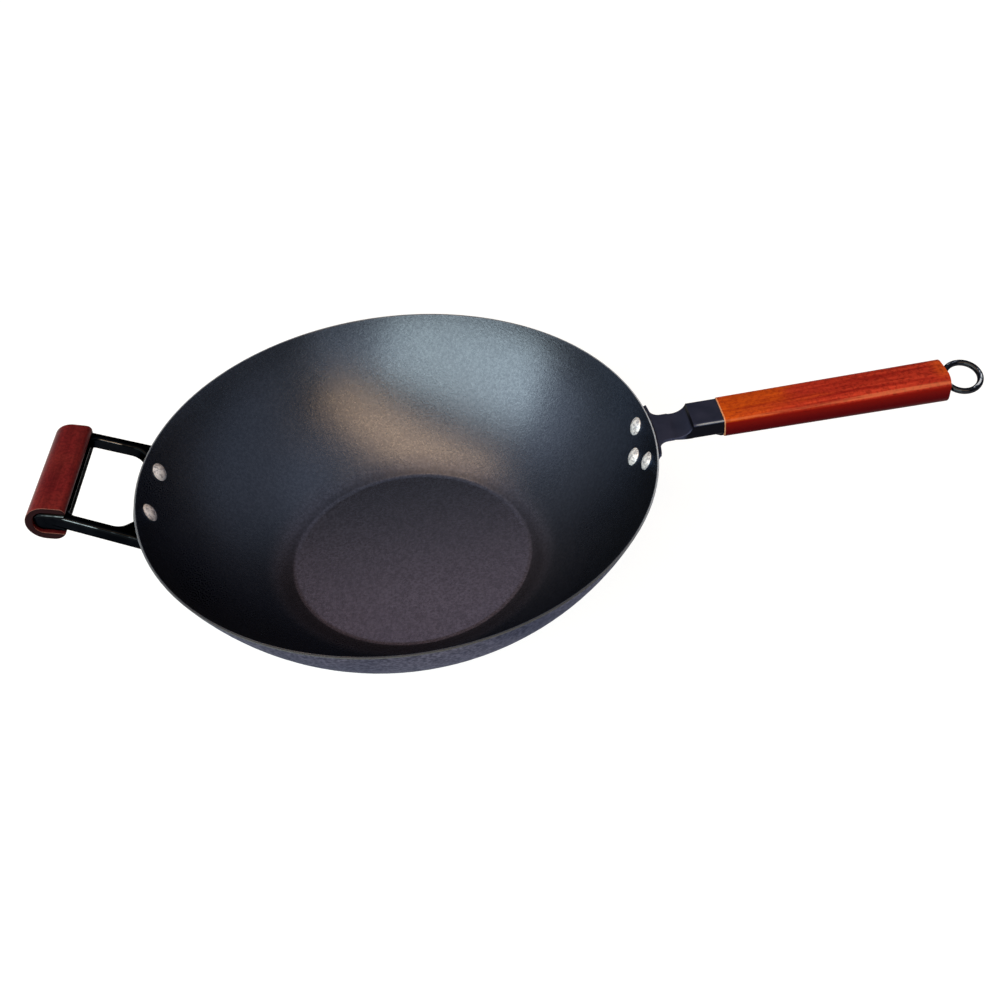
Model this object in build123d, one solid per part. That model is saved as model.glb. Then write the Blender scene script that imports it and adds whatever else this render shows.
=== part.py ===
from build123d import *
import math
import os

# A carbon steel wok with a flat base, a long wooden-gripped handle and a helper handle opposite it.
# Millimetres. The origin is the middle of the flat base's underside, +X runs along the long handle
# and +Z is up. Angles are in degrees.

# Bowl
rim_radius = 178.0
base_radius = 88.2
bowl_height = 99.2
wall_bulge = 12.9
bowl_sheet = 1.6
base_bend_radius = 7.0
rim_round = 0.4

# Rivets
rivet_head_diameter = 13.0
rivet_head_height = 2.8
rivet_head_edge = 0.5
rivet_shank_diameter = 5.0
rivet_tail_diameter = 9.0
rivet_tail_height = 2.4
rivet_clearance = 0.1

# Long handle: the pressed steel bracket, a plate on the wall with a neck and a hollow sleeve
handle_rise = 4.8
handle_lift = 2.6
bracket_sheet = 2.2
plate_gap = 0.1
plate_margin = 9.0
plate_corner = 7.2
upper_rivet_spread = 39.0
upper_rivet_drop = 13.3
lower_rivet_drop = 25.0
shoulder_width = 54.0
shoulder_reach = 2.0
shoulder_corner = 1.4
neck_drop = 0.2
neck_width = 27.4
neck_length = 10.0
neck_flare_radius = 6.5
neck_bend_radius = 3.0
ramp_length = 13.0
ramp_turn = 75.0
ramp_sections = 5
sleeve_lift = 0.9
sleeve_length = 21.0
sleeve_width = 27.0
sleeve_height = 12.2
sleeve_corner_radius = 2.6
sleeve_wall = 1.8
sleeve_lip_depth = 2.6
sleeve_lip_length = 7.0
sleeve_lip_land = 1.5
neck_edge_round = 0.5

# Long handle: wooden grip
grip_length = 154.8
grip_front_width = 28.3
grip_front_height = 16.3
grip_front_corner = 4.0
grip_back_width = 29.0
grip_back_height = 22.8
grip_back_corner = 8.5
grip_end_round = 3.6
grip_front_round = 0.6
tenon_length = 13.0
tenon_clearance = 0.2

# Long handle: tie rod with its hanging eye, and the block that it screws into
rod_diameter = 4.2
rod_clearance = 0.2
rod_tip_gap = 0.6
eye_radius = 12.0
eye_turn = 18.0
eye_seat_gap = 0.2
anchor_length = 5.0
anchor_clearance = 0.1

# Helper handle: bracket, a plate on the wall with two arms and the core inside the grip
helper_rivet_spread = 42.3
helper_rivet_drop = 13.5
helper_plate_drop = 15.0
helper_plate_thickness = 2.6
helper_plate_width = 104.0
helper_plate_height = 21.0
helper_plate_corner = 8.0
arm_drop = 15.0
arm_end_bar = 8.0
arm_height = 9.8
arm_root_width = 8.5
arm_end_width = 6.5
arm_root_spread = 88.4
arm_end_spread = 83.6
arm_round = 2.5
arm_end_fillet = 4.0
flare_fillet = 10.0
flare_reach = 12.5
flare_foot = 3.0
flare_width = 11.0
flare_side_width = 4.5
flare_corner = 3.0
root_sink = 14.0
core_height = 14.2
core_depth = 20.0
core_length = 90.0
core_end_round = 2.8
core_tilt = 15.0
core_lift = 5.3
core_reach = 36.3

# Helper handle: wooden grip, slotted over the core
helper_grip_length = 88.0
helper_grip_depth = 24.8
helper_grip_height = 26.4
helper_grip_corner = 4.0
helper_grip_under_corner = 8.0
helper_grip_edge_round = 0.8
slot_clearance = 0.15
slot_room = 2.8
slot_rise = 2.0
core_proud = 0.3

# Corners that are rounded to nearly half of their section
full_round_share = 0.49

# How far a cutter or a trimmed shape reaches past what it meets
overrun = 5.0

# The wall is one arc, the same in every section through the bowl's axis.
wall_run = rim_radius - base_radius
wall_chord = math.hypot(wall_run, bowl_height)
wall_radius = wall_chord**2 / (8 * wall_bulge) + wall_bulge / 2
centre_back = wall_radius - wall_bulge
wall_centre_r = (rim_radius + base_radius) / 2 - centre_back * bowl_height / wall_chord
wall_centre_z = bowl_height / 2 + centre_back * wall_run / wall_chord


def wall_slope(z, offset=0):
    """Angle of the wall's outward normal below the horizontal, on a surface offset outwards."""
    return math.asin((wall_centre_z - z) / (wall_radius + offset))


def wall_point(z, offset=0):
    """Radius and height of the wall's outer surface, or of one offset outwards from it."""
    return wall_centre_r + (wall_radius + offset) * math.cos(wall_slope(z, offset)), z


def wall_arc(z_from, z_to, offset=0):
    middle = (z_from + z_to) / 2
    return ThreePointArc(wall_point(z_from, offset), wall_point(middle, offset), wall_point(z_to, offset))


def wall_plane(drop, across=0):
    """Plane on the wall's outer surface, drop below the rim, with +Z outwards and +X along +Y."""
    r, z = wall_point(bowl_height - drop)
    slope = wall_slope(z)
    turn = math.asin(across / r)
    outwards = (math.cos(slope) * math.cos(turn), math.cos(slope) * math.sin(turn), -math.sin(slope))
    origin = (r * math.cos(turn), r * math.sin(turn), z)
    return Plane(origin=origin, x_dir=(-math.sin(turn), math.cos(turn), 0), z_dir=outwards)


# Each rivet's drop below the rim and its distance across from the handle's middle
long_rivets = {
    "left": (upper_rivet_drop, upper_rivet_spread / 2),
    "right": (upper_rivet_drop, -upper_rivet_spread / 2),
    "lower": (lower_rivet_drop, 0),
}
helper_rivets = {
    "left": (helper_rivet_drop, -helper_rivet_spread / 2),
    "right": (helper_rivet_drop, helper_rivet_spread / 2),
}

# The helper handle is built at the long handle's side and turned to the opposite one.
to_helper_side = Location((0, 0, 0), (0, 0, 180))

# Looking along the long handle at the bowl's side: +X is +Y of the wok, +Y is up
side_view = Plane(origin=(0, 0, 0), x_dir=(0, 1, 0), z_dir=(1, 0, 0))

# The long handle's axis starts at the sleeve's front. Its plane has +Z along the handle and +Y up.
# The neck rises at the handle's angle from the rim to the ramp.
shoulder = rim_radius + shoulder_reach
neck_top = bowl_height - neck_drop
neck_end = shoulder + neck_length
rise = math.radians(handle_rise)
handle_plane = Plane(
    origin=(neck_end + ramp_length, 0, bowl_height + handle_lift),
    x_dir=(0, 1, 0),
    z_dir=(math.cos(rise), 0, math.sin(rise)),
)
sleeve_shift = (0, sleeve_lift)
cavity_width = sleeve_width - 2 * sleeve_wall
cavity_height = sleeve_height - 2 * sleeve_wall
cavity_corner = sleeve_corner_radius - sleeve_wall
grip_end = sleeve_length + grip_length


def across_handle(distance, width, height, corner, shift=(0, 0)):
    """Rounded rectangle square to the handle's axis, at a distance along it."""
    return handle_plane * Pos(*shift, distance) * RectangleRounded(width, height, corner)


def neck_height(distance):
    """Height of the neck's top at a distance from the bowl's axis."""
    return neck_top + (distance - rim_radius) * math.tan(rise)


def along_handle(start, length, radius):
    """Cylinder on the handle's axis."""
    return handle_plane * Pos(0, 0, start + length / 2) * Cylinder(radius, length)


def rivet_holes(places):
    """Cutters for the holes of a set of rivets, square to the wall."""
    radius = rivet_shank_diameter / 2 + rivet_clearance
    depth = 2 * (rivet_head_height + rivet_tail_height + overrun)
    return [wall_plane(*place) * Cylinder(radius, depth) for place in places.values()]


def wok_bowl():
    """One sheet, revolved: flat base, bend, arched wall and a plain cut rim."""
    inner_base = wall_point(bowl_sheet, -bowl_sheet)
    inner_rim = wall_point(bowl_height, -bowl_sheet)
    outline = Wire([
        Line((0, 0), (base_radius, 0)),
        wall_arc(0, bowl_height),
        Line((rim_radius, bowl_height), inner_rim),
        wall_arc(bowl_height, bowl_sheet, -bowl_sheet),
        Line(inner_base, (0, bowl_sheet)),
        Line((0, bowl_sheet), (0, 0)),
    ])
    profile = Sketch() + make_face(outline)
    rim_corners = profile.vertices().sort_by(Axis.Y)[-2:]
    profile = fillet(rim_corners, rim_round)
    under_bend = profile.vertices().sort_by_distance((base_radius, 0))[0]
    profile = fillet(under_bend, base_bend_radius + bowl_sheet)
    inner_bend = profile.vertices().sort_by_distance(inner_base)[0]
    profile = fillet(inner_bend, base_bend_radius)
    bowl = revolve(Plane.XZ * profile, Axis.Z)
    bowl -= rivet_holes(long_rivets)
    bowl -= [to_helper_side * hole for hole in rivet_holes(helper_rivets)]
    return bowl


def rivet(place, plate_thickness):
    """Domed head inside the bowl, shank through bowl and plate, upset tail outside."""
    head_radius = rivet_head_diameter / 2
    shank_radius = rivet_shank_diameter / 2
    tail_radius = rivet_tail_diameter / 2
    # The head's flat underside stands on the hollow wall with its edge.
    edge_lift = head_radius**2 / (2 * wall_radius)
    head_seat = -bowl_sheet - edge_lift
    head_side = head_seat - rivet_head_edge
    head_top = head_seat - rivet_head_height
    tail_seat = plate_gap + plate_thickness
    tail_side = tail_seat + rivet_tail_height / 2
    tail_top = tail_seat + rivet_tail_height
    outline = Wire([
        Line((0, head_top), (0, tail_top)),
        TangentArc((0, tail_top), (tail_radius, tail_side), tangent=(1, 0)),
        Line((tail_radius, tail_side), (tail_radius, tail_seat)),
        Line((tail_radius, tail_seat), (shank_radius, tail_seat)),
        Line((shank_radius, tail_seat), (shank_radius, head_seat)),
        Line((shank_radius, head_seat), (head_radius, head_seat)),
        Line((head_radius, head_seat), (head_radius, head_side)),
        TangentArc((0, head_top), (head_radius, head_side), tangent=(1, 0)),
    ])
    return wall_plane(*place) * revolve(Plane.XZ * make_face(outline), Axis.Z)


def wall_band(lowest, highest, thickness):
    """Full ring of sheet lying on the wall's outside between two heights."""
    inner = plate_gap
    outer = plate_gap + thickness
    outline = Wire([
        wall_arc(lowest, highest, inner),
        Line(wall_point(highest, inner), wall_point(highest, outer)),
        wall_arc(highest, lowest, outer),
        Line(wall_point(lowest, outer), wall_point(lowest, inner)),
    ])
    return revolve(Plane.YZ * make_face(outline), Axis.Z)


def bracket_ring(lowest):
    """Full ring of the long bracket's sheet: up the wall, round the bend and out past the neck's end."""
    inner = plate_gap
    outer = plate_gap + bracket_sheet
    under = neck_top - bracket_sheet
    reach = neck_end + overrun
    reach_top = neck_height(reach)
    outline = Wire([
        wall_arc(lowest, neck_top, inner),
        Line(wall_point(neck_top, inner), (reach, reach_top)),
        Line((reach, reach_top), (reach, reach_top - bracket_sheet)),
        Line((reach, reach_top - bracket_sheet), wall_point(under, outer)),
        wall_arc(under, lowest, outer),
        Line(wall_point(lowest, outer), wall_point(lowest, inner)),
    ])
    profile = Sketch() + make_face(outline)
    outside_bend = profile.vertices().sort_by_distance(wall_point(neck_top, inner))[0]
    profile = fillet(outside_bend, neck_bend_radius + bracket_sheet)
    inside_bend = profile.vertices().sort_by_distance(wall_point(under, outer))[0]
    profile = fillet(inside_bend, neck_bend_radius)
    return revolve(Plane.YZ * profile, Axis.Z)


def bracket_plate(widest, foot):
    """Prism of the plate's outline, trimmed to the shoulder's round edge."""
    plate_side = upper_rivet_spread / 2 + plate_margin
    half_shoulder = shoulder_width / 2
    outline = make_face(Polyline(
        (half_shoulder, neck_top),
        (plate_side, widest),
        (plate_margin, foot),
        (-plate_margin, foot),
        (-plate_side, widest),
        (-half_shoulder, neck_top),
        close=True,
    ))
    corners = outline.vertices().sort_by(Axis.Y)[:4]
    outline = fillet(corners, plate_corner)
    edge = Rot(0, 0, 180) * Cylinder(shoulder, 2 * bowl_height)
    return extrude(side_view * outline, shoulder) & edge


def neck_plan():
    """The shoulder and the neck from above: a strip along the rim that flares into the neck."""
    half_shoulder = shoulder_width / 2
    half_neck = neck_width / 2
    inside = rim_radius - overrun
    length = neck_end - inside
    middle = Pos(inside + length / 2, 0)
    strip = (Rot(0, 0, 180) * Circle(shoulder)) & (middle * Rectangle(length, shoulder_width))
    ends = [strip.vertices().sort_by_distance((shoulder, side * half_shoulder))[0] for side in (1, -1)]
    strip = fillet(ends, shoulder_corner)
    plan = strip + middle * Rectangle(length, neck_width)
    flare_corners = [plan.vertices().sort_by_distance((shoulder, side * half_neck))[0] for side in (1, -1)]
    return fillet(flare_corners, neck_flare_radius)


def bracket_ramp():
    """Solid from the neck's end to the sleeve's front, with a hollow curved top."""
    start = Vector(neck_end, 0, neck_height(neck_end) - bracket_sheet)
    sleeve_centre = handle_plane.origin + handle_plane.y_dir * sleeve_lift
    end = sleeve_centre - handle_plane.y_dir * (sleeve_height / 2)
    full_turn = math.radians(ramp_turn)
    sections = []
    for step in range(ramp_sections):
        turn = full_turn * step / (ramp_sections - 1)
        along = math.sin(turn) / math.sin(full_turn)
        climb = (1 - math.cos(turn)) / (1 - math.cos(full_turn))
        width = neck_width + (sleeve_width - neck_width) * climb
        height = bracket_sheet + (sleeve_height - bracket_sheet) * climb
        corner = neck_edge_round + (sleeve_corner_radius - neck_edge_round) * climb
        tilt = rise * along
        foot = start + (end - start) * along
        up = Vector(-math.sin(tilt), 0, math.cos(tilt))
        middle = foot + up * (height / 2)
        plane = Plane(origin=middle, x_dir=(0, 1, 0), z_dir=(math.cos(tilt), 0, math.sin(tilt)))
        section = plane * RectangleRounded(width, height, corner)
        sections.append(section.face())
    return loft(sections)


def long_handle_bracket():
    """Plate curved to the wall, neck bent out over the rim, ramp and hollow sleeve."""
    widest = bowl_height - upper_rivet_drop
    foot = bowl_height - lower_rivet_drop - plate_margin
    neck = Pos(0, 0, widest) * extrude(neck_plan(), upper_rivet_drop + overrun)
    bracket = bracket_ring(foot - overrun) & (bracket_plate(widest, foot) + neck)
    bracket += bracket_ramp()
    sleeve = across_handle(0, sleeve_width, sleeve_height, sleeve_corner_radius, sleeve_shift)
    bracket += extrude(sleeve, sleeve_length)
    bracket += sleeve_lip()
    cavity = across_handle(0, cavity_width, cavity_height, cavity_corner, sleeve_shift)
    bracket -= extrude(cavity, sleeve_length + overrun)
    bracket -= rivet_holes(long_rivets)
    return bracket


def sleeve_lip():
    """Lip pressed down along the sleeve's mouth, on its underside."""
    width = sleeve_width - 2 * sleeve_corner_radius
    foot = sleeve_lift - sleeve_height / 2
    start = sleeve_length - sleeve_lip_length
    side = make_face(Polyline(
        (start, foot),
        (sleeve_length - sleeve_lip_land, foot - sleeve_lip_depth),
        (sleeve_length, foot - sleeve_lip_depth),
        (sleeve_length, foot + sleeve_wall / 2),
        (start, foot + sleeve_wall / 2),
        close=True,
    ))
    along = handle_plane.z_dir
    up = handle_plane.y_dir
    side_plane = Plane(origin=handle_plane.origin, x_dir=along, z_dir=along.cross(up))
    return extrude(side_plane * side, width / 2, both=True)


def long_handle_grip():
    """Wood that goes from a squarish front to a rounder back, with a tenon and a bore for the rod."""
    front = across_handle(sleeve_length, grip_front_width, grip_front_height, grip_front_corner)
    back = across_handle(grip_end, grip_back_width, grip_back_height, grip_back_corner)
    grip = Part() + loft([front.face(), back.face()], ruled=True)
    ends = grip.faces().sort_by(Axis(handle_plane.origin, handle_plane.z_dir))
    grip = fillet(ends[-1].edges(), grip_end_round)
    grip = fillet(ends[0].edges(), grip_front_round)
    tenon_start = sleeve_length - tenon_length
    tenon_width = cavity_width - 2 * tenon_clearance
    tenon_height = cavity_height - 2 * tenon_clearance
    tenon = across_handle(tenon_start, tenon_width, tenon_height, cavity_corner, sleeve_shift)
    grip += extrude(tenon, tenon_length + overrun)
    grip -= along_handle(0, grip_end + overrun, rod_diameter / 2 + rod_clearance)
    return grip


def tie_rod():
    """Wire rod along the handle's axis, closed into an eye that bears on the grip's end."""
    wire_radius = rod_diameter / 2
    eye_start = grip_end + eye_seat_gap + wire_radius
    turn = math.radians(eye_turn)
    eye_plane = Plane(
        origin=(0, 0, eye_start + eye_radius),
        x_dir=(0, 0, 1),
        z_dir=(math.sin(turn), -math.cos(turn), 0),
    )
    eye = handle_plane * eye_plane * Torus(eye_radius, wire_radius)
    return along_handle(rod_tip_gap, eye_start - rod_tip_gap, wire_radius) + eye


def tie_rod_anchor():
    """Block across the front of the sleeve's hollow, which holds the rod's screwed end."""
    width = cavity_width - 2 * anchor_clearance
    height = cavity_height - 2 * anchor_clearance
    face = across_handle(anchor_clearance, width, height, cavity_corner, sleeve_shift)
    block = extrude(face, anchor_length)
    return block - along_handle(0, anchor_length + overrun, rod_diameter / 2 + anchor_clearance)


# The core and the grip share a section: +X runs outwards from the core's face, +Y up.
core_x = rim_radius + core_reach
core_z = bowl_height + core_lift
core_turn = math.radians(core_tilt)
core_plane = Plane(
    origin=(core_x, 0, core_z),
    x_dir=(math.cos(core_turn), 0, math.sin(core_turn)),
    z_dir=(0, -1, 0),
)
# The arms lie in a plane from the wall to the core's face: +X runs outwards and upwards, +Y across.
helper_outer = plate_gap + helper_plate_thickness
arm_root_x, arm_root_z = wall_point(bowl_height - arm_drop, helper_outer)
arm_length = math.hypot(core_x - arm_root_x, core_z - arm_root_z)
tilt = math.atan2(core_z - arm_root_z, core_x - arm_root_x)
arm_plane = Plane(
    origin=(arm_root_x, 0, arm_root_z),
    x_dir=(math.cos(tilt), 0, math.sin(tilt)),
    z_dir=(-math.sin(tilt), 0, math.cos(tilt)),
)


def core_section(clearance=0, room=0):
    """Section of the core, flat towards the bowl and round outwards, grown by a clearance and by room below."""
    depth = core_depth + clearance
    height = core_height + 2 * clearance
    section = Pos(depth / 2, -room / 2) * Rectangle(depth, height + room)
    outer = section.vertices().sort_by(Axis.X)[-2:]
    return fillet(outer, height * full_round_share)


def helper_arms():
    """Two tapered arms with a root web and an end bar, as one rounded frame in the tilted plane."""
    root = arm_root_spread / 2
    end = arm_end_spread / 2
    arm_reach = arm_length + arm_end_bar
    slope = (root - end) / arm_reach
    half_root = arm_root_width / 2
    half_end = arm_end_width / 2
    flare_top = root - half_root - flare_width
    flare_side = flare_top - flare_side_width
    outer = make_face(Polyline(
        (-root_sink, root + half_root + root_sink * slope),
        (arm_reach, end + half_end),
        (arm_reach, -end - half_end),
        (-root_sink, -root - half_root - root_sink * slope),
        close=True,
    ))
    window = make_face(Polyline(
        (-root_sink - overrun, flare_side),
        (flare_foot, flare_top),
        (flare_reach, root - half_root),
        (arm_length, end - half_end),
        (arm_length, half_end - end),
        (flare_reach, half_root - root),
        (flare_foot, -flare_top),
        (-root_sink - overrun, -flare_side),
        close=True,
    ))
    corners = window.vertices().group_by(Axis.X)
    window = fillet(corners[-1], arm_end_fillet)
    corners = window.vertices().group_by(Axis.X)
    window = fillet(corners[2], flare_fillet)
    corners = window.vertices().group_by(Axis.X)
    window = fillet(corners[1], flare_corner)
    frame = extrude(arm_plane * (outer - window), arm_height / 2, both=True)
    faces = frame.faces().sort_by(Axis(arm_plane.origin, arm_plane.z_dir))
    return fillet(faces[0].edges() + faces[-1].edges(), arm_round)


def helper_handle_bracket():
    """Plate curved to the wall, two rising arms and the core that the grip is slotted over."""
    plate_middle = bowl_height - helper_plate_drop
    half_height = helper_plate_height / 2
    outline = Pos(0, plate_middle) * RectangleRounded(
        helper_plate_width, helper_plate_height, helper_plate_corner
    )
    band = wall_band(
        plate_middle - half_height - overrun, plate_middle + half_height, helper_plate_thickness
    )
    plate = band & extrude(side_view * outline, rim_radius + helper_outer)
    core = extrude(core_plane * core_section(), core_length / 2, both=True)
    ends = core.faces().sort_by(Axis.Y)
    core = fillet(ends[0].edges() + ends[-1].edges(), core_end_round)
    arms = helper_arms() - filled_bowl(plate_gap + helper_plate_thickness / 2)
    bracket = plate + arms
    bracket += core
    bracket -= rivet_holes(helper_rivets)
    return to_helper_side * bracket


def filled_bowl(offset):
    """Everything within a surface offset outwards from the wall."""
    outline = Wire([
        Line((0, 0), wall_point(0, offset)),
        wall_arc(0, bowl_height, offset),
        Line(wall_point(bowl_height, offset), (0, bowl_height)),
        Line((0, bowl_height), (0, 0)),
    ])
    return revolve(Plane.YZ * make_face(outline), Axis.Z)


def helper_handle_grip():
    """Wooden C-section: slotted from the bowl's side, with room below the core, and round at the back."""
    middle = Pos(core_proud + helper_grip_depth / 2, -slot_rise)
    block = middle * Rectangle(helper_grip_depth, helper_grip_height)
    corners = block.vertices().sort_by(Axis.X)
    block = fillet(corners[-2:], helper_grip_height * full_round_share)
    upper_corner = block.vertices().sort_by_distance((0, helper_grip_height))[0]
    block = fillet(upper_corner, helper_grip_corner)
    under_corner = block.vertices().sort_by_distance((0, -helper_grip_height))[0]
    block = fillet(under_corner, helper_grip_under_corner)
    section = block - core_section(slot_clearance, slot_room)
    grip = extrude(core_plane * section, helper_grip_length / 2, both=True)
    ends = grip.faces().sort_by(Axis.Y)
    grip = fillet(ends[0].edges() + ends[-1].edges(), helper_grip_edge_round)
    return to_helper_side * grip


nodes = {
    "wok_bowl": wok_bowl(),
    "long_handle_bracket": long_handle_bracket(),
    "long_handle_grip": long_handle_grip(),
    "tie_rod": tie_rod(),
    "tie_rod_anchor": tie_rod_anchor(),
    "helper_handle_bracket": helper_handle_bracket(),
    "helper_handle_grip": helper_handle_grip(),
}
for side, place in long_rivets.items():
    nodes[f"long_handle_rivet_{side}"] = rivet(place, bracket_sheet)
for side, place in helper_rivets.items():
    nodes[f"helper_handle_rivet_{side}"] = to_helper_side * rivet(place, helper_plate_thickness)

os.makedirs("parts", exist_ok=True)
for name, shape in nodes.items():
    export_step(shape, f"parts/{name}.step")
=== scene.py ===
import math

import bpy
from mathutils import Euler, Matrix

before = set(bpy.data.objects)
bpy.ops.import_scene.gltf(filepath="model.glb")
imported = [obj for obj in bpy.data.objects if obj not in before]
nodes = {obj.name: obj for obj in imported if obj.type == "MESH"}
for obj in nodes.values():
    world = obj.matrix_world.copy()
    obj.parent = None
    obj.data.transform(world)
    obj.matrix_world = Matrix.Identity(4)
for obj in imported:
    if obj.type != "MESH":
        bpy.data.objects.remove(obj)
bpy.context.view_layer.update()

# Sizes and places in metres, in the model's frame: +X runs along the long handle and +Z is up
RIM_RADIUS = 0.178
RIM_HEIGHT = 0.0992
HANDLE_RISE = math.radians(4.8)
SLEEVE_START = (0.203, 0.0, 0.1018)

# The bowl's cut edge, from inside it to where it is fully bare
EDGE_RADII = (RIM_RADIUS - 0.0016, RIM_RADIUS - 0.0010)
EDGE_HEIGHTS = (RIM_HEIGHT - 0.0012, RIM_HEIGHT - 0.0004)

# Heights over which the base's finish gives way to the wall's, and over which the ring of painted shade
# begins
BASE_HEIGHTS = (0.002, 0.0145)
SHADE_RING_HEIGHTS = (0.0021, 0.0030)
SHADE_RING_TOP_NEAR, SHADE_RING_TOP_FAR = 0.013, 0.0065

# Places from the near side of the bowl to its far side, over which tones of painted light and shade change,
# and from left to right
BASE_SHADE_DEPTHS = (-0.075, 0.085)
SHADE_RING_TOP_DEPTHS = (-0.05, 0.05)
SHADE_RING_TONE_DEPTHS = (-0.04, 0.04)
EDGE_HIGHLIGHT_DEPTHS = (-0.15, -0.02)
EDGE_HIGHLIGHT_LENGTHS = (-0.17, 0.15)

# Places along the long handle: the end of the ramp into the sleeve, the sleeve's front and the grip
RAMP_END = (SLEEVE_START[0] - 0.008, SLEEVE_START[0] - 0.004)
SLEEVE_FRONT = (SLEEVE_START[0], SLEEVE_START[0] + 0.003)
GRIP_START = 0.021
GRIP_END = GRIP_START + 0.1548
# Where the painted highlight on the grip's lip at the sleeve fades out
GRIP_LIP_HIGHLIGHT = (GRIP_START + 0.0004, GRIP_START + 0.0009)
# Heights on the grip's sides over which their painted shade lightens
SIDE_SHADE_HEIGHTS = (-0.0045, 0.0085)
PATCH_PLACES = (-0.013, -0.004)

# The middle of a noise's values, where most of them lie
MIDDLE = (0.3, 0.7)

# A point above the bowl that sees all of its inside and none of its outside
LOOKOUT = (0, 0, 0.3)

# Where a mix node keeps its share, its two colours and its result
MIX_SHARE, MIX_FIRST, MIX_SECOND = 0, 6, 7
MIX_RESULT = 2


# Shader building

class Tree:
    """A node tree, built from small parts that return sockets."""

    def __init__(self, tree):
        self.tree = tree

    def node(self, kind, inputs=None, **settings):
        made = self.tree.nodes.new("ShaderNode" + kind)
        for key, value in settings.items():
            setattr(made, key, value)
        for key, value in (inputs or {}).items():
            self.put(made.inputs[key], value)
        return made

    def put(self, socket, value):
        """Link a socket to another one, or give it a value."""
        if isinstance(value, bpy.types.NodeSocket):
            self.tree.links.new(value, socket)
        elif socket.type == "RGBA" and len(value) == 3:
            socket.default_value = (*value, 1.0)
        else:
            socket.default_value = value

    def ramp(self, value, low, high, to_low=0.0, to_high=1.0, kind="SMOOTHSTEP"):
        """A value carried from one range to another and held beyond its ends."""
        return self.node("MapRange", {
            "Value": value, "From Min": low, "From Max": high, "To Min": to_low, "To Max": to_high,
        }, interpolation_type=kind).outputs["Result"]

    def calculate(self, kind, a, b=0.0):
        return self.node("Math", {0: a, 1: b}, operation=kind).outputs[0]

    def times(self, a, b):
        return self.calculate("MULTIPLY", a, b)

    def plus(self, a, b):
        return self.calculate("ADD", a, b)

    def minus(self, a, b):
        return self.calculate("SUBTRACT", a, b)

    def mix(self, share, a, b, blend="MIX"):
        made = self.node("Mix", data_type="RGBA", blend_type=blend)
        self.put(made.inputs[MIX_SHARE], share)
        self.put(made.inputs[MIX_FIRST], a)
        self.put(made.inputs[MIX_SECOND], b)
        return made.outputs[MIX_RESULT]

    def axis(self, at, name):
        """One coordinate of a vector."""
        return self.node("SeparateXYZ", {"Vector": at}).outputs[name]

    def length(self, vector):
        return self.node("VectorMath", {0: vector}, operation="LENGTH").outputs["Value"]


class Shader(Tree):
    """One node material with the finishes' own parts."""

    def __init__(self, name):
        self.material = bpy.data.materials.new(name)
        self.material.use_nodes = True
        super().__init__(self.material.node_tree)
        self.tree.nodes.clear()
        self.output = self.tree.nodes.new("ShaderNodeOutputMaterial")

    def place(self, scale=(1, 1, 1), turn=(0, 0, 0), origin=(0, 0, 0)):
        """Object coordinates about an origin, turned and then scaled."""
        at = self.node("TexCoord").outputs["Object"]
        moved = self.node("Mapping", {"Vector": at, "Location": tuple(-v for v in origin)}).outputs[0]
        turned = self.node("Mapping", {"Vector": moved, "Rotation": turn}).outputs[0]
        return self.node("Mapping", {"Vector": turned, "Scale": scale}).outputs[0]

    def noise(self, at, scale, detail, rough, warp=0.0):
        return self.node("TexNoise", {
            "Vector": at, "Scale": scale, "Detail": detail, "Roughness": rough, "Distortion": warp,
        }).outputs["Fac"]

    def band(self, value, low, high):
        """1 inside a range, fading to 0 at each end over a fifth of it."""
        fade = (high - low) / 5
        rise = self.ramp(value, low, low + fade)
        fall = self.ramp(value, high - fade, high, 1.0, 0.0)
        return self.times(rise, fall)

    def facing(self, name):
        """How far the surface faces along an axis, from -1 to 1."""
        return self.axis(self.node("NewGeometry").outputs["Normal"], name)

    def mottle(self, colour, share, dark, light):
        """A colour multiplied by a tone that goes from dark to light."""
        return self.mix(1.0, colour, self.mix(share, dark, light), "MULTIPLY")

    def bump(self, height, strength, depth, under=None):
        inputs = {"Height": height, "Strength": strength, "Distance": depth}
        if under is not None:
            inputs["Normal"] = under
        return self.node("Bump", inputs).outputs["Normal"]

    def finish(self, **inputs):
        """The material, its inputs named as the principled shader's are, with underscores for spaces."""
        made = self.node("BsdfPrincipled")
        sockets = {socket.name.lower().replace(" ", "_"): socket for socket in made.inputs}
        for key, value in inputs.items():
            self.put(sockets[key], value)
        self.tree.links.new(made.outputs[0], self.output.inputs["Surface"])
        return self.material


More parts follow.
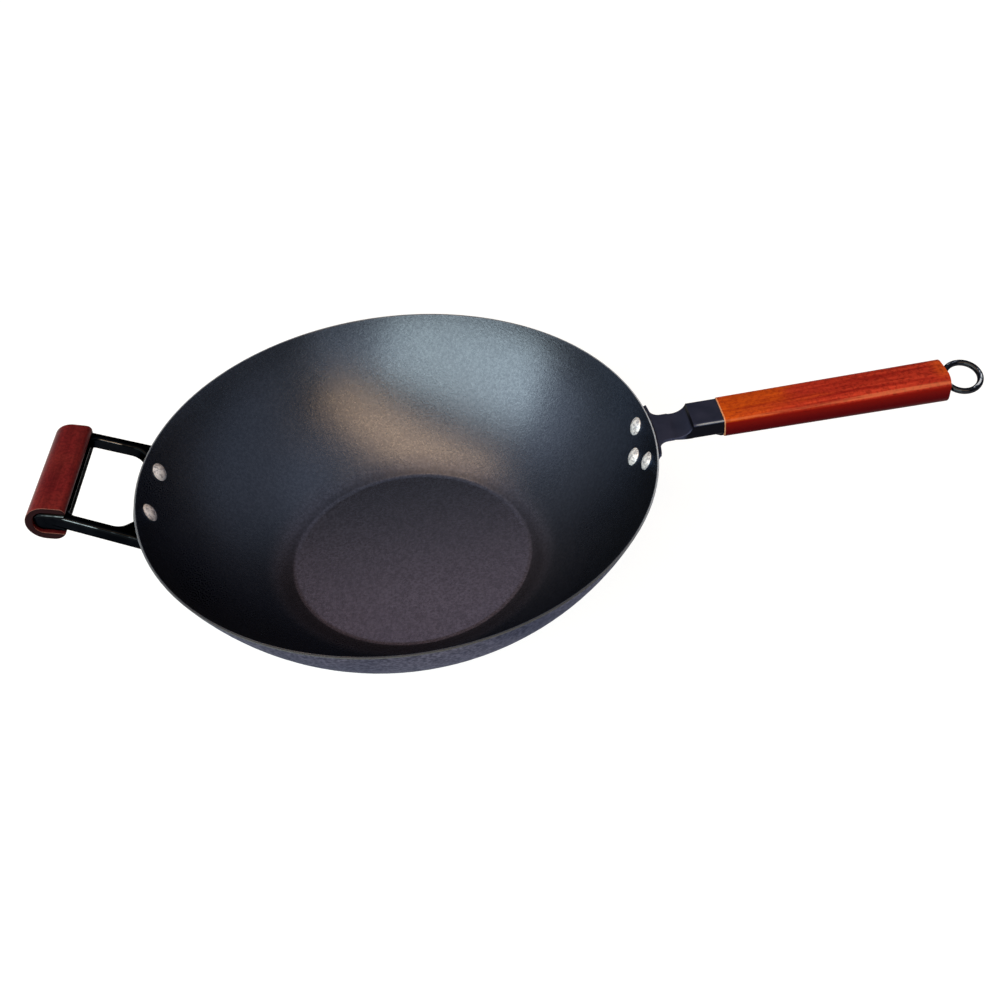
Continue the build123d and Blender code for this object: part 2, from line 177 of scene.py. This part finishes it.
def bowl_steel():
    """Blued and seasoned sheet: near black, satin, grained, duller outside, with a bare cut edge; painted
    light makes the base lighter at its near side, a ring of painted shade darkens the wall just above the
    base, and a painted highlight brightens the cut edge on the near side.
    """
    s = Shader("seasoned_steel")
    wall_tones = (0.078, 0.088, 0.114), (0.091, 0.100, 0.132)
    base_shade_tones = (0.152, 0.136, 0.192), (0.062, 0.068, 0.098)
    shell_tones = (0.068, 0.067, 0.092), (0.112, 0.107, 0.140)
    edge_shade_and_highlight_tones = (0.055, 0.057, 0.066), (0.44, 0.50, 0.62)
    shade_ring_tone = (0.020, 0.022, 0.030)
    wall_grain = (0.89, 0.89, 0.89), (1.13, 1.12, 1.10)
    base_grain = (0.80, 0.80, 0.80), (1.24, 1.24, 1.24)
    shell_grain = (0.62, 0.62, 0.62), (1.46, 1.46, 1.46)

    at = s.place()
    along, back, height = (s.axis(at, name) for name in "XYZ")
    grain = s.noise(at, scale=620.0, detail=3.0, rough=0.7)
    speck = s.ramp(s.noise(at, scale=460.0, detail=2.0, rough=0.6), 0.36, 0.66)
    cloud = s.noise(at, scale=14.0, detail=4.0, rough=0.55)

    # The outside faces away from the lookout
    normal = s.node("NewGeometry").outputs["Normal"]
    from_lookout = s.node("VectorMath", {0: at, 1: LOOKOUT}, operation="SUBTRACT").outputs["Vector"]
    away = s.node("VectorMath", {0: normal, 1: from_lookout}, operation="DOT_PRODUCT").outputs["Value"]
    outside = s.ramp(away, -0.02, 0.02)

    # The base, the ring of painted shade round it and the cut edge with its painted highlight, each as a
    # share from 0 to 1
    flat = s.times(s.ramp(height, *BASE_HEIGHTS, 1.0, 0.0), s.minus(1.0, outside))
    # A ring of painted shade just above the base, taller and darker on the near side
    shade_ring_top = s.ramp(back, *SHADE_RING_TOP_DEPTHS, SHADE_RING_TOP_NEAR, SHADE_RING_TOP_FAR)
    shade_ring_fade = s.ramp(height, s.times(shade_ring_top, 0.4), shade_ring_top, 1.0, 0.0)
    shade_ring = s.times(s.ramp(height, *SHADE_RING_HEIGHTS), shade_ring_fade)
    shade_ring_strength = s.ramp(back, *SHADE_RING_TONE_DEPTHS, 0.8, 0.45)
    radius = s.length(s.node("CombineXYZ", {"X": along, "Y": back}).outputs["Vector"])
    edge = s.times(s.ramp(radius, *EDGE_RADII), s.ramp(height, *EDGE_HEIGHTS))
    # A painted highlight on the cut edge, bright on the near side and towards the long handle, darker at
    # the far side
    edge_highlight = s.times(s.ramp(back, *EDGE_HIGHLIGHT_DEPTHS), s.ramp(along, *EDGE_HIGHLIGHT_LENGTHS, 0.35, 1.0))

    colour = s.mottle(s.mix(cloud, *wall_tones), speck, *wall_grain)
    # Painted light on the base: lighter at its near side, darker at its far side
    base = s.mottle(s.mix(s.ramp(back, *BASE_SHADE_DEPTHS), *base_shade_tones), speck, *base_grain)
    shell = s.mottle(s.mix(s.ramp(cloud, *MIDDLE), *shell_tones), speck, *shell_grain)
    colour = s.mix(flat, colour, base)
    colour = s.mix(s.times(shade_ring, shade_ring_strength), colour, shade_ring_tone)
    colour = s.mix(outside, colour, shell)
    colour = s.mix(edge, colour, s.mix(edge_highlight, *edge_shade_and_highlight_tones))

    metal = s.minus(s.ramp(grain, 0.4, 0.6, 0.93, 0.97), s.times(flat, 0.28))
    metal = s.minus(metal, s.times(edge, 0.7))
    rough = s.plus(s.ramp(cloud, *MIDDLE, 0.25, 0.31), s.ramp(grain, 0.35, 0.65, -0.03, 0.04))
    rough = s.plus(rough, s.times(outside, 0.3))
    relief = s.times(grain, s.ramp(edge, 0.0, 0.5, 1.0, 0.0))
    return s.finish(
        base_color=colour, metallic=metal, roughness=rough, specular_tint=(0.28, 0.32, 0.40),
        normal=s.bump(relief, strength=0.3, depth=0.0004),
    )


def sleeve_coat():
    """Dark blue-black coat with a faint orange peel, its sides blackened with painted shade and a painted
    highlight along its upper edges.
    """
    s = Shader("sleeve_coat")
    coat_tones = (0.024, 0.028, 0.054), (0.036, 0.039, 0.072)
    side_shade_tone = (0.004, 0.004, 0.007)
    highlight_tone = (0.28, 0.33, 0.42)

    at = s.place()
    along = s.axis(at, "X")
    up = s.facing("Z")
    peel = s.noise(at, scale=420.0, detail=2.0, rough=0.5)
    cloud = s.noise(at, scale=45.0, detail=3.0, rough=0.55)
    # Painted shade blackens the sides past the ramp
    side_shade = s.times(s.ramp(up, 0.3, 0.6, 1.0, 0.0), s.ramp(along, *RAMP_END))
    # A painted highlight along the upper edges, from the sleeve's front on
    painted_highlight = s.times(s.band(up, 0.55, 0.92), s.ramp(along, *SLEEVE_FRONT))
    painted_highlight = s.times(painted_highlight, s.ramp(cloud, 0.3, 0.6, 0.3, 0.65))

    tone = s.mix(s.ramp(cloud, 0.35, 0.7), *coat_tones)
    tone = s.mix(side_shade, tone, side_shade_tone)
    tone = s.mix(painted_highlight, tone, highlight_tone)
    return s.finish(
        base_color=tone, metallic=0.45, roughness=s.ramp(cloud, *MIDDLE, 0.3, 0.4),
        specular_ior_level=0.08, specular_tint=(0.2, 0.2, 0.24),
        normal=s.bump(peel, strength=0.08, depth=0.0005),
    )


def bracket_coat():
    """Glossy black coat over a cast or forged frame, faintly uneven, with a painted highlight in patches
    where it faces partly up.
    """
    s = Shader("bracket_coat")
    coat_tones = (0.0035, 0.004, 0.005), (0.006, 0.007, 0.009)
    highlight_tone = (0.34, 0.37, 0.42)

    at = s.place()
    peel = s.noise(at, scale=300.0, detail=3.0, rough=0.5)
    cloud = s.noise(at, scale=60.0, detail=3.0, rough=0.55)
    # A painted highlight in patches where the coat faces partly up
    painted_highlight = s.times(s.band(s.facing("Z"), 0.48, 0.68), s.ramp(cloud, 0.45, 0.6, 0.0, 0.45))
    tone = s.mix(s.ramp(cloud, 0.35, 0.7), *coat_tones)
    tone = s.mix(painted_highlight, tone, highlight_tone)
    return s.finish(
        base_color=tone, metallic=1.0, roughness=s.ramp(cloud, *MIDDLE, 0.14, 0.24),
        specular_tint=(0.04, 0.04, 0.045), normal=s.bump(peel, strength=0.06, depth=0.0005),
    )


def wire_steel():
    """Black glossy oxide on bent wire, with a painted highlight in places along its top."""
    s = Shader("black_wire")
    oxide_tones = (0.016, 0.017, 0.021), (0.030, 0.031, 0.036)
    highlight_tone = (0.54, 0.60, 0.74)

    cloud = s.noise(s.place(), scale=160.0, detail=3.0, rough=0.5)
    # A painted highlight in places along the wire's top
    ridge_highlight = s.times(s.ramp(s.facing("Z"), 0.86, 0.96), s.ramp(cloud, 0.44, 0.56, 0.0, 1.0))
    tone = s.mix(cloud, *oxide_tones)
    tone = s.mix(ridge_highlight, tone, highlight_tone)
    return s.finish(
        base_color=tone, metallic=s.ramp(ridge_highlight, 0.0, 1.0, 1.0, 0.1),
        roughness=s.ramp(cloud, *MIDDLE, 0.08, 0.14), specular_tint=(0.5, 0.5, 0.52),
    )


def rivet_steel():
    """Bright steel, slightly dented and dull in patches."""
    s = Shader("rivet_steel")
    steel_tones = (0.40, 0.41, 0.49), (0.92, 0.92, 1.0)

    at = s.place()
    fine = s.noise(at, scale=900.0, detail=2.0, rough=0.6)
    cloud = s.noise(at, scale=430.0, detail=3.0, rough=0.6)
    grain = s.bump(fine, strength=0.15, depth=0.0003)
    return s.finish(
        base_color=s.mix(s.ramp(cloud, 0.36, 0.58), *steel_tones), metallic=0.35,
        roughness=s.ramp(cloud, *MIDDLE, 0.3, 0.42),
        normal=s.bump(cloud, strength=0.35, depth=0.0006, under=grain),
    )


def plain_steel():
    """Uncoated steel of the anchor block inside the sleeve."""
    s = Shader("plain_steel")
    steel_tones = (0.3, 0.31, 0.32), (0.45, 0.46, 0.47)

    fine = s.noise(s.place(), scale=500.0, detail=2.0, rough=0.6)
    return s.finish(
        base_color=s.mix(fine, *steel_tones), metallic=1.0, roughness=s.ramp(fine, *MIDDLE, 0.3, 0.45),
    )


def long_grip_wood():
    """Stained and lacquered wood: orange on top at the sleeve, red further along; painted shade makes the
    sides dark red, with painted highlights along their upper edges and on the lip at the sleeve.
    """
    s = Shader("stained_wood_long")
    front_tones = (0.35, 0.040, 0.005), (0.52, 0.078, 0.007)
    back_tones = (0.24, 0.012, 0.008), (0.46, 0.042, 0.020)
    side_shade_tones = (0.058, 0.0008, 0.002), (0.080, 0.0012, 0.003)
    upper_side_shade_tone = (0.20, 0.006, 0.003)
    patch_tone = (0.60, 0.10, 0.010)
    fleck_tone = (0.14, 0.008, 0.005)
    edge_highlight_tone = (0.58, 0.18, 0.08)
    lip_highlight_tone = (0.70, 0.36, 0.20)
    pore_tone = (0.07, 0.003, 0.003)

    turned = {"turn": (0, HANDLE_RISE, 0), "origin": SLEEVE_START}
    at = s.place(**turned)
    along, across, above = (s.axis(at, name) for name in "XYZ")
    up = s.facing("Z")
    share = s.ramp(along, GRIP_START, GRIP_END, kind="LINEAR")
    streak = s.noise(s.place((14, 420, 420), **turned), scale=1.0, detail=5.0, rough=0.65, warp=0.3)
    pores = s.noise(s.place((110, 1700, 1700), **turned), scale=1.0, detail=2.0, rough=0.5)
    cloud = s.noise(s.place((22, 60, 60), **turned), scale=1.0, detail=3.0, rough=0.5)
    fleck = s.noise(at, scale=420.0, detail=3.0, rough=0.6)

    # The top goes from orange to red along the grip, with an orange patch at its far end
    grain = s.ramp(streak, *MIDDLE)
    turn = s.ramp(s.plus(share, s.ramp(cloud, *MIDDLE, -0.2, 0.2)), 0.1, 0.6)
    patch = s.times(s.ramp(share, 0.92, 1.0), s.ramp(across, *PATCH_PLACES))
    tone = s.mix(turn, s.mix(grain, *front_tones), s.mix(grain, *back_tones))
    tone = s.mix(s.times(patch, 0.55), tone, patch_tone)
    flecks = s.times(s.ramp(fleck, 0.45, 0.62), s.ramp(share, 0.2, 0.7, 0.35, 0.55))
    tone = s.mix(flecks, tone, fleck_tone)

    # Painted shade makes the sides dark, less so towards their top, under a painted highlight along the
    # upper edge
    side_shade = s.mix(streak, *side_shade_tones)
    side_shade = s.mix(s.ramp(above, *SIDE_SHADE_HEIGHTS), side_shade, upper_side_shade_tone)
    tone = s.mix(s.ramp(up, 0.15, 0.5, 1.0, 0.0), tone, side_shade)
    # The painted highlight along the upper edge of the sides
    edge = s.times(s.band(up, 0.40, 0.76), s.ramp(streak, 0.35, 0.6, 0.1, 0.42))
    edge = s.times(edge, s.ramp(share, 0.1, 0.7, 0.7, 1.0))
    tone = s.mix(edge, tone, edge_highlight_tone)

    # A painted highlight on the lip at the sleeve, and the pores over all
    lip_highlight = s.ramp(along, *GRIP_LIP_HIGHLIGHT, 1.0, 0.0)
    tone = s.mix(s.times(lip_highlight, 0.6), tone, lip_highlight_tone)
    tone = s.mix(s.times(s.ramp(pores, 0.58, 0.72), 0.45), tone, pore_tone)
    relief = s.bump(pores, strength=0.06, depth=0.0002)
    relief = s.bump(streak, strength=0.08, depth=0.0004, under=relief)
    return s.finish(
        base_color=tone, roughness=s.ramp(streak, *MIDDLE, 0.3, 0.4), specular_ior_level=0.02,
        normal=relief,
    )


def helper_grip_wood():
    """Brick red stained and lacquered wood, its grain along the grip, darker at the ends, with painted
    shade underneath and a painted highlight along the upper edges of its ends.
    """
    s = Shader("stained_wood_helper")
    wood_tones = (0.072, 0.006, 0.008), (0.152, 0.013, 0.015)
    cloud_tone = (0.17, 0.022, 0.019)
    fleck_tone = (0.048, 0.004, 0.006)
    pore_tone = (0.03, 0.003, 0.004)
    end_tone = (0.010, 0.001, 0.002)
    edge_highlight_tone = (0.45, 0.24, 0.20)
    underside_shade_tone = (0.022, 0.003, 0.004)

    up = s.facing("Z")
    ends = s.calculate("ABSOLUTE", s.facing("Y"))
    streak = s.noise(s.place((300, 14, 300)), scale=1.0, detail=4.0, rough=0.6, warp=0.3)
    pores = s.noise(s.place((1300, 70, 1300)), scale=1.0, detail=2.0, rough=0.5)
    cloud = s.noise(s.place(), scale=55.0, detail=4.0, rough=0.55)
    fleck = s.noise(s.place(), scale=480.0, detail=3.0, rough=0.6)
    # A painted highlight along the upper edges of the ends
    edge = s.times(s.band(ends, 0.32, 0.54), s.ramp(up, -0.1, 0.3, 0.0, 0.7))

    tone = s.mix(s.ramp(streak, *MIDDLE), *wood_tones)
    tone = s.mix(s.ramp(cloud, 0.35, 0.75, 0.0, 0.5), tone, cloud_tone)
    tone = s.mix(s.times(s.ramp(fleck, 0.42, 0.62), 0.5), tone, fleck_tone)
    tone = s.mix(s.times(s.ramp(pores, 0.6, 0.76), 0.4), tone, pore_tone)
    tone = s.mix(s.ramp(ends, 0.45, 0.62), tone, end_tone)
    tone = s.mix(edge, tone, edge_highlight_tone)
    # Painted shade underneath
    tone = s.mix(s.ramp(up, -0.5, 0.1, 0.8, 0.0), tone, underside_shade_tone)
    relief = s.bump(pores, strength=0.05, depth=0.0002)
    relief = s.bump(streak, strength=0.06, depth=0.0004, under=relief)
    return s.finish(
        base_color=tone, roughness=s.ramp(streak, *MIDDLE, 0.36, 0.46), specular_ior_level=0.05,
        normal=relief,
    )


def dress(material, *names):
    """Give nodes one material in place of what they had."""
    for name in names:
        nodes[name].data.materials.clear()
        nodes[name].data.materials.append(material)


dress(bowl_steel(), "wok_bowl")
dress(sleeve_coat(), "long_handle_bracket")
dress(bracket_coat(), "helper_handle_bracket")
dress(long_grip_wood(), "long_handle_grip")
dress(helper_grip_wood(), "helper_handle_grip")
dress(wire_steel(), "tie_rod")
dress(plain_steel(), "tie_rod_anchor")
dress(rivet_steel(), *[name for name in nodes if "_rivet_" in name])


# Camera, at the photograph's angle

camera = bpy.data.objects.new("camera", bpy.data.cameras.new("camera"))
bpy.context.collection.objects.link(camera)
camera.location = (0.0401, -0.53429, 0.5372)
camera.rotation_euler = [math.radians(angle) for angle in (47.406, 2.771, -5.544)]
camera.data.lens = 36.0
camera.data.sensor_width = 36.0
camera.data.clip_start = 0.01
bpy.context.scene.camera = camera


# Floor, world and lamps

FLOOR_REACH = 12.0
LAMP_AIM_HEIGHT = 0.1


def floor_material():
    """White to the camera and in reflections, where it still darkens in the object's shadow."""
    s = Shader("floor")
    path = s.node("LightPath").outputs
    seen = s.plus(s.plus(path["Is Camera Ray"], path["Is Glossy Ray"]), path["Is Transmission Ray"])
    seen = s.calculate("MINIMUM", seen, 1.0)
    away = s.length(s.place())
    white = s.node("Emission", {"Color": (1, 1, 1), "Strength": s.ramp(away, 0.5, 2.0, 0.9, 1.0)})
    lit = s.node("BsdfDiffuse", {"Color": (0.22, 0.22, 0.22)})
    both = s.node("AddShader", {0: white.outputs[0], 1: lit.outputs[0]})
    plain = s.node("BsdfDiffuse", {"Color": (0.35, 0.35, 0.35)})
    mixed = s.node("MixShader", {0: seen, 1: plain.outputs[0], 2: both.outputs[0]})
    s.put(s.output.inputs["Surface"], mixed.outputs[0])
    return s.material


floor_mesh = bpy.data.meshes.new("floor")
floor_signs = ((-1, -1), (1, -1), (1, 1), (-1, 1))
floor_corners = [(x * FLOOR_REACH, y * FLOOR_REACH, 0) for x, y in floor_signs]
floor_mesh.from_pydata(floor_corners, [], [(0, 1, 2, 3)])
floor = bpy.data.objects.new("floor", floor_mesh)
floor_mesh.materials.append(floor_material())
bpy.context.collection.objects.link(floor)


def studio_world():
    """White to the camera; in reflections white at the horizon and grey overhead and on both sides."""
    world = bpy.data.worlds.new("world")
    bpy.context.scene.world = world
    world.use_nodes = True
    sky = Tree(world.node_tree)
    path = sky.node("LightPath").outputs
    direction = sky.node("TexCoord").outputs["Generated"]
    up = sky.axis(direction, "Z")
    sideways = sky.calculate("ABSOLUTE", sky.axis(direction, "X"))

    horizon = sky.ramp(up, 0.0, 0.05, 1.0, 0.03)
    ceiling = sky.ramp(up, 0.6, 0.85, 0.0, 0.48)
    walls = sky.times(sky.ramp(sideways, 0.35, 0.9, 0.0, 0.36), sky.ramp(up, 0.05, 0.35))
    reflected = sky.plus(horizon, sky.plus(ceiling, walls))
    mirrored = sky.calculate("MAXIMUM", path["Is Glossy Ray"], path["Is Transmission Ray"])
    level = sky.ramp(mirrored, 0.0, 1.0, 0.22, reflected, kind="LINEAR")
    level = sky.ramp(path["Is Camera Ray"], 0.0, 1.0, level, 1.0, kind="LINEAR")
    tint = sky.mix(path["Is Camera Ray"], (0.78, 0.87, 1.0), (1.0, 1.0, 1.0))
    background = world.node_tree.nodes["Background"]
    sky.put(background.inputs["Color"], tint)
    sky.put(background.inputs["Strength"], level)


studio_world()


def softbox(name, azimuth, elevation, distance, width, height, radiance, colour, turn=0.0):
    """Rectangular area lamp that faces the bowl from a direction, given by its surface brightness."""
    data = bpy.data.lights.new(name, "AREA")
    data.shape = "RECTANGLE"
    data.size = width
    data.size_y = height
    data.energy = radiance * math.pi * width * height
    data.color = colour
    lamp = bpy.data.objects.new(name, data)
    bpy.context.collection.objects.link(lamp)
    around, up = math.radians(azimuth), math.radians(elevation)
    lamp.location = (
        distance * math.cos(up) * math.cos(around),
        distance * math.cos(up) * math.sin(around),
        distance * math.sin(up) + LAMP_AIM_HEIGHT,
    )
    facing = Euler((math.pi / 2 - up, 0, around + math.pi / 2)).to_matrix()
    lamp.rotation_euler = (facing @ Matrix.Rotation(math.radians(turn), 3, "Z")).to_euler()


softbox("lamp_window", azimuth=-129.5, elevation=28, distance=1.6, width=2.46, height=1.2,
        radiance=3.9, colour=(0.88, 1.0, 0.88))
softbox("lamp_window_side", azimuth=-73, elevation=23, distance=1.6, width=1.0, height=0.85,
        radiance=0.9, colour=(0.84, 0.95, 1.0))
softbox("lamp_strip", azimuth=-96.6, elevation=71.9, distance=1.5, width=2.5, height=0.44,
        radiance=5.0, colour=(1.0, 0.61, 0.29), turn=-35.1)
softbox("lamp_side_wall", azimuth=178, elevation=24, distance=1.6, width=0.98, height=0.98,
        radiance=0.5, colour=(0.80, 0.90, 1.0))

bpy.context.scene.view_settings.view_transform = "Standard"
